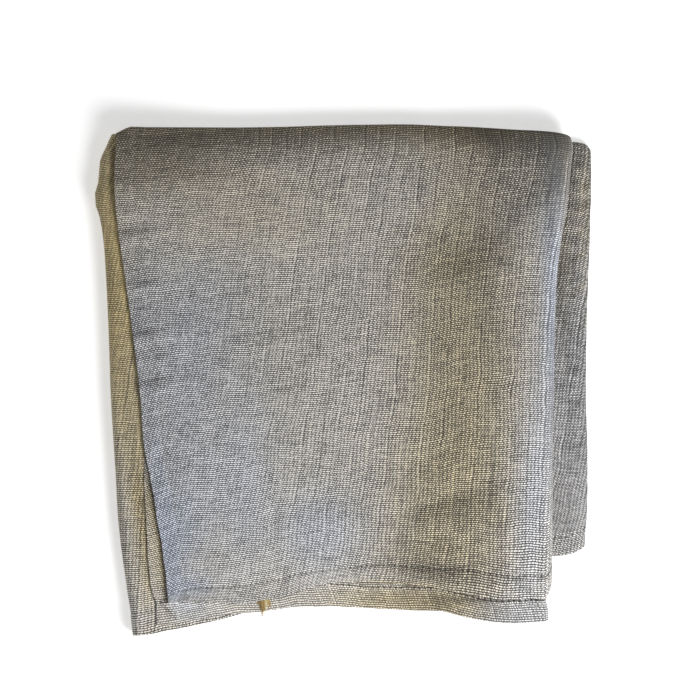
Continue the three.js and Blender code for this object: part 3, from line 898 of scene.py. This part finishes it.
def add_towel():
    """The flat cloth is a grid of its own size, folded by moving its points."""
    across_lines = grid_lines(ACROSS_LINES)
    along_lines = grid_lines(ALONG_LINES)
    columns = len(across_lines) - 1
    rows = len(along_lines) - 1
    bpy.ops.mesh.primitive_grid_add(x_subdivisions=columns, y_subdivisions=rows, size=1)
    towel = bpy.context.object
    towel.name = "towel"
    mesh = towel.data
    flat = np.zeros(len(mesh.vertices) * 3)
    mesh.vertices.foreach_get("co", flat)
    flat = flat.reshape(-1, 3)
    column = np.rint((flat[:, 0] + 0.5) * columns).astype(int)
    row = np.rint((flat[:, 1] + 0.5) * rows).astype(int)
    across = np.minimum(across_lines[column], JUST_INSIDE)
    along = np.minimum(along_lines[row], JUST_INSIDE)

    points = cloth_point(across, along, lift_at(across, along))
    points[:, 2] = np.maximum(points[:, 2], 0)
    mesh.vertices.foreach_set("co", (points * MM).ravel())
    # The painted light and shade, the tint and the smoothness are kept on the points
    for name, tables, key, plain in (
        ("painted_light_and_shade", PAINTED_LIGHT_AND_TINT, "light", PLAIN_PAINTED_LIGHT),
        ("warmth", PAINTED_LIGHT_AND_TINT, "warmth", PLAIN_WARMTH),
        ("smooth", SMOOTHNESS, "smooth", 0),
    ):
        values = plain + layer_patches(tables, key, across, along)
        mesh.attributes.new(name, "FLOAT", "POINT").data.foreach_set("value", values)

    u, v = cloth_place(across, along)
    corner = np.zeros(len(mesh.loops), int)
    mesh.loops.foreach_get("vertex_index", corner)
    places = mesh.uv_layers[0]
    places.name = "cloth"
    places.data.foreach_set("uv", (np.stack([u, v], axis=1)[corner] * MM).ravel())

    side, end = edge_distances(across, along)
    in_side = 1 - smoothstep(side, HEM_DEPTH, HEM_DEPTH + HEM_STEP)
    in_end = 1 - smoothstep(end, HEM_DEPTH, HEM_DEPTH + HEM_STEP)
    thickness = CLOTH_THICKNESS + (HEM_THICKNESS - CLOTH_THICKNESS) * np.maximum(in_side, in_end)
    thickness += (CORNER_THICKNESS - HEM_THICKNESS) * in_side * in_end
    group = towel.vertex_groups.new(name="thickness")
    for index, weight in enumerate(thickness / CORNER_THICKNESS):
        group.add([index], weight, "REPLACE")

    solidify = towel.modifiers.new("thickness", "SOLIDIFY")
    solidify.thickness = CORNER_THICKNESS * MM
    solidify.offset = -1
    solidify.vertex_group = "thickness"
    solidify.thickness_vertex_group = 0
    bpy.ops.object.modifier_apply(modifier="thickness")
    carry_weave_over_edges(mesh, len(points))
    bevel = towel.modifiers.new("rounding", "BEVEL")
    bevel.width = EDGE_ROUNDING * MM
    bevel.segments = 2
    bevel.limit_method = "ANGLE"
    bevel.angle_limit = math.radians(EDGE_ANGLE)
    bpy.ops.object.modifier_apply(modifier="rounding")
    bpy.ops.object.shade_smooth_by_angle(angle=math.radians(SMOOTH_ANGLE))
    return towel


def seam_places():
    """Course and stretch of each stitch, and of points just before and after it."""
    run = np.linspace(0, LAST_MARK - 1e-6, SEAM_SAMPLES)
    line = np.full_like(run, STITCH_INSET / HEM_DEPTH)
    places = []
    for across, along, length in (
        (line, run, TOWEL_LENGTH), (LAST_MARK - line, run, TOWEL_LENGTH),
        (run, line, TOWEL_WIDTH), (run, LAST_MARK - line, TOWEL_WIDTH),
    ):
        u, v = cloth_place(across, along)
        on_side = length == TOWEL_LENGTH
        reached = v if on_side else u
        middles = np.arange(STITCH_PITCH / 2, length, STITCH_PITCH)
        ends = [np.interp(middles + shift, reached, run) for shift in (-STITCH_AIM, 0, STITCH_AIM)]
        fixed = np.full_like(middles, across[0] if on_side else along[0])
        places.append([(fixed, end) if on_side else (end, fixed) for end in ends])
    return [tuple(np.concatenate(parts) for parts in zip(*step)) for step in zip(*places)]


def add_stitches():
    """One bead of thread, copied along the seams on the outside and the inside."""
    before, at, after = seam_places()
    forward = unit(cloth_point(*after) - cloth_point(*before))
    outward = unit(cloth_point(*at, 1.0) - cloth_point(*at, 0.0))
    sideways = np.cross(outward, forward)
    lift = lift_at(*at)
    bpy.ops.mesh.primitive_uv_sphere_add(segments=6, ring_count=4, radius=0.5)
    bead = bpy.context.object
    shape = np.array([vertex.co for vertex in bead.data.vertices])[:, [2, 0, 1]] * STITCH_SIZE
    stitches = []
    for depth in (STITCH_SINK, HEM_THICKNESS - STITCH_SINK):
        centres = cloth_point(*at, lift - depth)
        centres[:, 2] = np.maximum(centres[:, 2], STITCH_SIZE[2] / 2)
        for centre, ahead, beside, up in zip(centres, forward, sideways, outward):
            stitch = bead.copy()
            stitch.data = bead.data.copy()
            places = centre + shape @ np.stack([ahead, beside, up])
            stitch.data.vertices.foreach_set("co", (places * MM).ravel())
            bpy.context.collection.objects.link(stitch)
            stitches.append(stitch)
    bpy.data.objects.remove(bead)
    return join(stitches, "stitches")


def join(pieces, name):
    bpy.ops.object.select_all(action="DESELECT")
    for piece in pieces:
        piece.select_set(True)
    bpy.context.view_layer.objects.active = pieces[0]
    bpy.ops.object.join()
    joined = bpy.context.object
    joined.name = name
    bpy.ops.object.mode_set(mode="EDIT")
    bpy.ops.mesh.select_all(action="SELECT")
    bpy.ops.mesh.normals_make_consistent(inside=False)
    bpy.ops.object.mode_set(mode="OBJECT")
    bpy.ops.object.shade_smooth()
    bpy.ops.object.select_all(action="DESELECT")
    return joined


def add_tuft():
    """Strands of fine fibres that leave the hem together and fray at their ends."""
    draw = np.random.default_rng(TUFT_SEED)
    share = np.linspace(0, 1, FIBRE_POINTS)
    widths = 1.1 - 0.85 * share
    strands = []
    for start, end, out, fibres, spread, brown in zip(*STRANDS.values()):
        curve = bpy.data.curves.new("strand", "CURVE")
        curve.dimensions = "3D"
        curve.bevel_depth = FIBRE_WIDTH / 2 * MM
        curve.bevel_resolution = 1
        curve.use_fill_caps = True
        for _ in range(int(fibres)):
            reach = out * draw.uniform(SHORTEST_FIBRE, 1.0)
            phase = draw.uniform(0, 2 * math.pi)
            radius = STRAND_RADIUS * math.sqrt(draw.uniform(0.05, 1))
            fray_x = draw.uniform(-spread, spread)
            fray_z = draw.uniform(-0.4, 0.1)
            turn = STRAND_TWIST * share + phase
            coil = radius * (1 - share / 4)
            x = start + (end - start + fray_x * share) * share + coil * np.sin(turn)
            z = (fray_z - 1) * share ** 2 + coil * np.cos(turn)
            points = np.array(TUFT_ROOT) + np.stack([x, -reach * share, z], axis=1)
            spline = curve.splines.new("POLY")
            spline.points.add(len(points) - 1)
            for point, place, width in zip(spline.points, points * MM, widths):
                point.co = (*place, 1)
                point.radius = width
        strand = bpy.data.objects.new("strand", curve)
        bpy.context.collection.objects.link(strand)
        bpy.context.view_layer.objects.active = strand
        strand.select_set(True)
        bpy.ops.object.convert(target="MESH")
        values = np.full(len(strand.data.vertices), brown)
        strand.data.attributes.new("brown", "FLOAT", "POINT").data.foreach_set("value", values)
        strand.select_set(False)
        strands.append(strand)
    return join(strands, "tuft")


bpy.ops.object.select_all(action="DESELECT")

towel = add_towel()
towel.data.materials.append(linen_finish())
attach(towel, "root")
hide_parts("towel_cloth")

stitches = add_stitches()
stitches.data.materials.append(thread_finish())
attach(stitches, "root")

tuft = add_tuft()
tuft.data.materials.append(straw_finish())
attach(tuft, "root")
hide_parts("yarn_tuft")


# The stage: a pale table top that glows a little, a soft light from the lower right, and a room
FLOOR_SIZE = 6000
FLOOR_DROP = 0.2
FLOOR_COLOUR = (0.9, 0.9, 0.9, 1)
FLOOR_GLOW = 0.48
WINDOW_PLACE = (470, -540, 560)
WINDOW_SIZE = 450
WINDOW_WATTS = 10
WHITE = (1, 1, 1, 1)
ROOM_LIGHT = 0.25

# The photograph is 675 pixels wide, and a pixel is 0.522 mm on the cloth. The middle of the towel's
# frame is at 342.5 pixels from its left and 379.5 from its top.
PIXEL = 0.522
FRAME_PIXELS = 675
CAMERA_HEIGHT = 2500
CAMERA_X = (FRAME_PIXELS / 2 - 342.5) * PIXEL
CAMERA_Y = (379.5 - FRAME_PIXELS / 2) * PIXEL
CLOTH_TOP = 12


def add_floor():
    bpy.ops.mesh.primitive_plane_add(size=FLOOR_SIZE * MM, location=(0, 0, -FLOOR_DROP * MM))
    floor = bpy.context.object
    floor.name = "table_top"
    finish = Finish("pale_table", 0.9, Base_Color=FLOOR_COLOUR, Emission_Color=WHITE)
    finish.shader.inputs["Emission Strength"].default_value = FLOOR_GLOW
    floor.data.materials.append(finish.material)


def add_window():
    """A square light that faces the towel."""
    x, y, z = WINDOW_PLACE
    bpy.ops.object.light_add(type="AREA", location=(x * MM, y * MM, z * MM))
    light = bpy.context.object
    light.name = "window"
    light.data.size = WINDOW_SIZE * MM
    light.data.energy = WINDOW_WATTS
    light.rotation_euler = (math.atan2(math.hypot(x, y), z), 0, math.atan2(x, -y))


def add_world():
    world = bpy.data.worlds.new("soft_room")
    world.use_nodes = True
    background = world.node_tree.nodes["Background"]
    background.inputs["Color"].default_value = WHITE
    background.inputs["Strength"].default_value = ROOM_LIGHT
    bpy.context.scene.world = world


def add_camera():
    """It looks straight down on the towel, and frames it as the photograph does."""
    bpy.ops.object.camera_add(location=(CAMERA_X * MM, CAMERA_Y * MM, CAMERA_HEIGHT * MM))
    camera = bpy.context.object
    camera.rotation_euler = (0, 0, 0)
    seen = FRAME_PIXELS * PIXEL
    camera.data.lens = camera.data.sensor_width * (CAMERA_HEIGHT - CLOTH_TOP) / seen
    bpy.context.scene.camera = camera


add_floor()
add_window()
add_world()
add_camera()
bpy.context.scene.view_settings.view_transform = "Standard"
